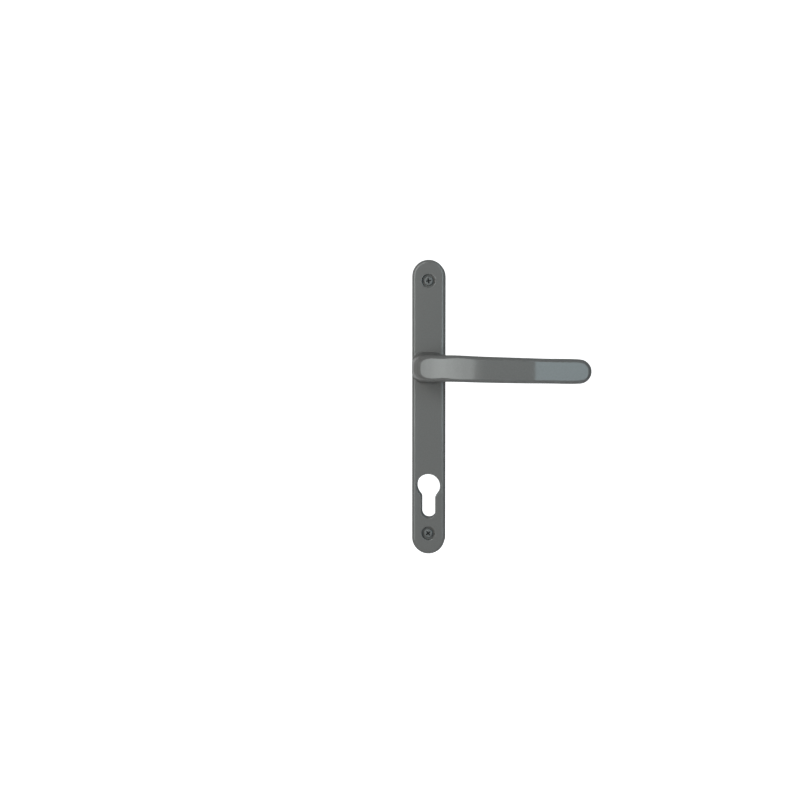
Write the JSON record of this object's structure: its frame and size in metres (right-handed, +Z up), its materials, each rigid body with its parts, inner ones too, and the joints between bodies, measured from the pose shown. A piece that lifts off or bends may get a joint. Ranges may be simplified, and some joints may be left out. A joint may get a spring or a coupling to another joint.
{
  "type": "lever door handle on long backplate",
  "caption": "Sprung lever handle on a long narrow round-ended backplate, with a profile-cylinder opening, sunk fixing screws and a square spindle.",
  "frame": {"origin": "where the spindle's axis crosses the door plane, which is the backplate's rear face", "axes": "+Z up the door along the backplate, +Y into the door along the spindle, +X along the lever away from its hub; the front faces -Y"},
  "size_m": [0.1359, 0.129, 0.2288],
  "materials": {
    "coated_casting": "semi-gloss anthracite grey powder coat with fine orange peel",
    "coated_screw": "anthracite grey painted screw head",
    "bush_plastic": "matt black moulded plastic",
    "spring_steel": "oiled dark spring steel",
    "plated_steel": "bright zinc-plated steel"
  },
  "bodies": {
    "frame": {"backplate": "coated_casting", "bearing_bush": "bush_plastic", "return_spring": "spring_steel", "spring_cover": "plated_steel", "cover_screws": "plated_steel", "fixing_screws": "coated_screw"},
    "lever": {"lever": "coated_casting", "spring_driver": "plated_steel", "thrust_washer": "plated_steel", "retaining_ring": "spring_steel", "spindle": "plated_steel", "grub_screw": "spring_steel"}
  },
  "joints": [
    {"name": "lever_turn", "type": "hinge", "parent": "frame", "child": "lever", "pos_m": [0, 0, 0], "axis": [0, 1, 0], "range_deg": [-45, 45], "stiffness_Nm_per_rad": 1.4, "springref_deg": -4.58, "deforming": ["return_spring"]}
  ]
}
